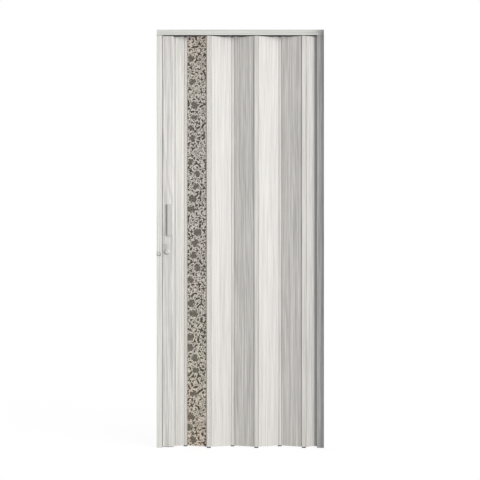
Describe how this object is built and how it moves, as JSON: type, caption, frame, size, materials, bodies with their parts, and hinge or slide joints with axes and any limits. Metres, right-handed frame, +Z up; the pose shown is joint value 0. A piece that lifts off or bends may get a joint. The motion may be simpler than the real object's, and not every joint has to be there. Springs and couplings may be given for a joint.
{
  "type": "accordion door",
  "caption": "Hollow plastic folding door with one printed panel, hung on rollers in a top track between two channel jambs, shown closed.",
  "frame": {"origin": "floor level on the outer face of the fixed jamb, in the middle of its depth", "axes": "+X from the doorway into the wall at the fixed jamb, +Y towards the back, +Z up"},
  "size_m": [0.84, 0.0509, 2.1],
  "materials": {
    "frame_pvc": "satin, white ash grain",
    "track_pvc": "satin, white ash grain",
    "post_pvc": "satin, white ash grain",
    "panel_pvc": "satin, white ash grain",
    "hinge_pvc": "satin",
    "soft_pvc": "soft, matt",
    "decor_print": "printed scroll and leaf pattern, semi-gloss",
    "anchor_pvc": "matt grey",
    "plug_plastic": "moulded, matt black",
    "trolley_plastic": "moulded, matt black",
    "wheel_plastic": "moulded acetal",
    "axle_steel": "drawn",
    "handle_plastic": "moulded, satin",
    "latch_plastic": "moulded, satin"
  },
  "bodies": {
    "door": {"strike_jamb": "frame_pvc", "fixed_jamb": "frame_pvc", "top_track": "track_pvc", "lead_post": "post_pvc", "post_cap_top": "plug_plastic", "post_cap_bottom": "plug_plastic", "lead_joint": "soft_pvc", "lead_half_panel": "panel_pvc", "decor_panel": "decor_print", "panel_2": "panel_pvc", "panel_3": "panel_pvc", "panel_4": "panel_pvc", "panel_5": "panel_pvc", "fixed_half_panel": "panel_pvc", "fixed_joint": "soft_pvc", "anchor_profile": "anchor_pvc", "hinge_plugs_bottom": "plug_plastic", "hinge_plugs_top": "plug_plastic", "trolley_wheels": "wheel_plastic", "trolley_axles": "axle_steel", "handle_front": "handle_plastic", "handle_back": "handle_plastic", "latch_rose": "latch_plastic", "latch_keeper": "latch_plastic", "fold_hinge_1": "hinge_pvc", "fold_hinge_2": "hinge_pvc", "fold_hinge_3": "hinge_pvc", "fold_hinge_4": "hinge_pvc", "fold_hinge_5": "hinge_pvc", "fold_hinge_6": "hinge_pvc", "trolley_1": "trolley_plastic", "trolley_2": "trolley_plastic", "trolley_3": "trolley_plastic", "trolley_4": "trolley_plastic"},
    "latch": {"latch_lever": "latch_plastic"}
  },
  "joints": [
    {"name": "latch_turn", "type": "hinge", "parent": "door", "child": "latch", "pos_m": [-0.7892, -0.022, 0.984], "axis": [0, -1, 0], "range_deg": [0, 90]}
  ]
}
